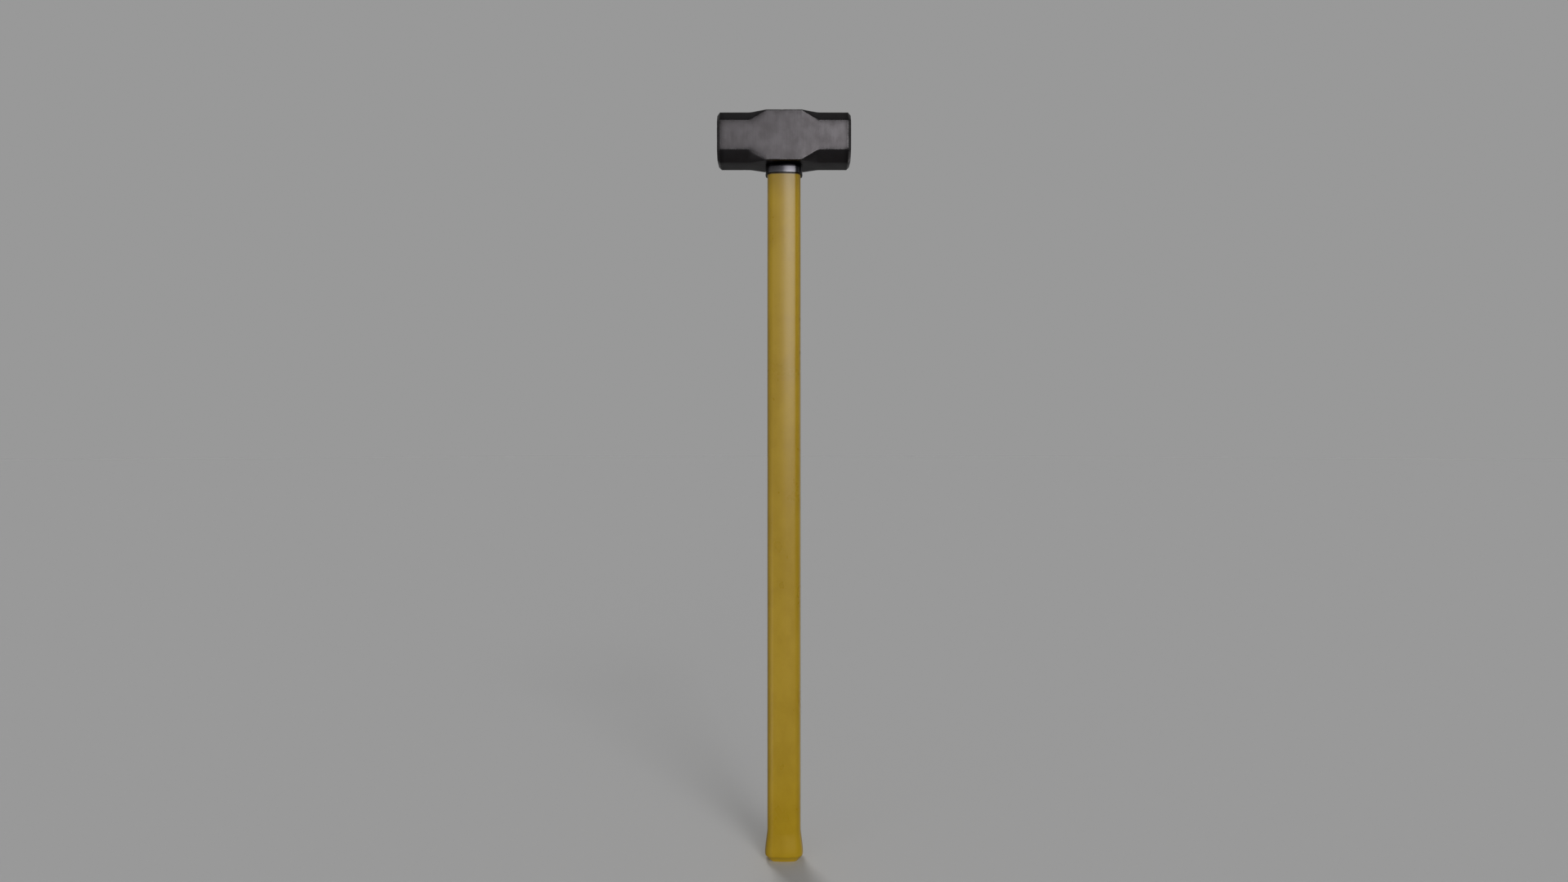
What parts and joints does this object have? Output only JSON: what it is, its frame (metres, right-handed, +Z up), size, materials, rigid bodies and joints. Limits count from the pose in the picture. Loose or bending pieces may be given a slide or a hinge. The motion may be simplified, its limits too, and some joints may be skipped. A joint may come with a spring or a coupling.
{
  "type": "sledgehammer",
  "caption": "Long-handled double-faced sledgehammer: forged eight-sided steel head on a straight yellow composite handle with a polished collar and a swelled butt.",
  "frame": {"origin": "centre of the handle butt's flat base", "axes": "+Z up the handle to the top of the head, +X along the head from face to face, -Y towards the front"},
  "size_m": [0.1632, 0.0626, 0.9144],
  "materials": {
    "forged_steel": "satin dark forged steel with fine vertical grain and slightly worn edges",
    "polished_steel": "polished dark steel",
    "yellow_jacket": "semi-gloss ochre yellow moulding, faintly mottled",
    "glass_fibre": "cut end of a pultruded glass-fibre rod",
    "dark_resin": "cast black epoxy, gloss",
    "black_rubber": "matt"
  },
  "bodies": {
    "root": {"hammer_head": "forged_steel", "steel_collar": "polished_steel", "handle_jacket": "yellow_jacket", "handle_core": "glass_fibre", "eye_resin": "dark_resin", "seal_washer": "black_rubber"}
  },
  "joints": []
}
